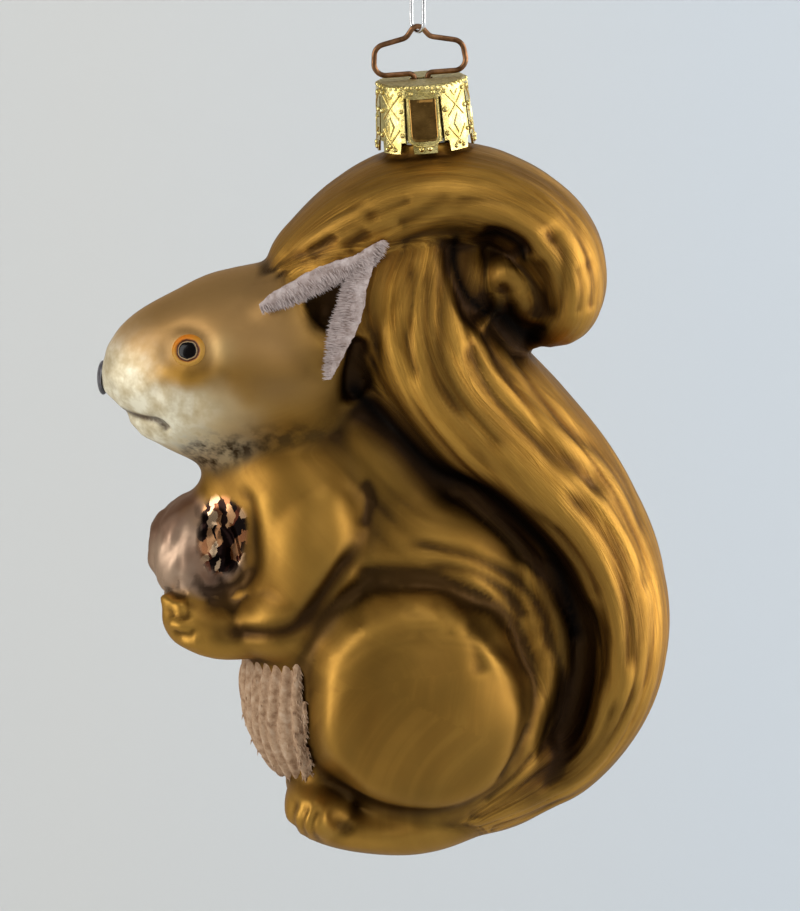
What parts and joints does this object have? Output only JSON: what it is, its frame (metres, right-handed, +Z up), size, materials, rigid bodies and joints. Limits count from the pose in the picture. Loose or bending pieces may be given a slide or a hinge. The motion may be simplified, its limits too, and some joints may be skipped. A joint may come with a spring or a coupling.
{
  "type": "hanging glass squirrel ornament",
  "caption": "Hollow blown-glass squirrel holding a nut, with a crimped crown cap, a spring-wire loop on the cap and a wire hook to hang it from.",
  "frame": {"origin": "inside of the hook's upper bend, where the ornament hangs from a branch or a rod", "axes": "+Z up, X in the plane of the figure with the head at -X and the tail at +X, +Y away from the viewer"},
  "size_m": [0.0694, 0.042, 0.1315],
  "materials": {
    "hook_wire": "bright drawn wire",
    "loop_wire": "copper-brown spring wire",
    "cap_metal": "polished gold",
    "neck_glass": "silvered inside",
    "lacquered_glass": "silvered inside, satin gold-brown lacquer outside",
    "frosting": "rough frosting paste",
    "eye_enamel": "glossy enamel",
    "nose_enamel": "glossy enamel"
  },
  "bodies": {
    "hook": {"hanging_hook": "hook_wire"},
    "loop": {"hanger_wire": "loop_wire"},
    "cap": {"crown_cap": "cap_metal"},
    "glass": {"glass_neck": "neck_glass", "glass_body": "lacquered_glass", "ear_frosting_left": "frosting", "ear_frosting_right": "frosting", "belly_frosting": "frosting", "eye_enamel_left": "eye_enamel", "eye_enamel_right": "eye_enamel", "nose_enamel": "nose_enamel"}
  },
  "joints": [
    {"name": "hanger_swing", "type": "hinge", "parent": "hook", "child": "loop", "pos_m": [0, 0, -0.03022], "axis": [0, 1, 0], "range_deg": [-40, 40]},
    {"name": "hanger_rock", "type": "hinge", "parent": "loop", "child": "cap", "pos_m": [0.00042, 0, -0.03588], "axis": [0.9972, 0, 0.075], "range_deg": [-5, 5]},
    {"name": "cap_pull", "type": "slide", "parent": "cap", "child": "glass", "axis": [0.075, 0, -0.9972], "range_m": [0, 0.014]}
  ]
}
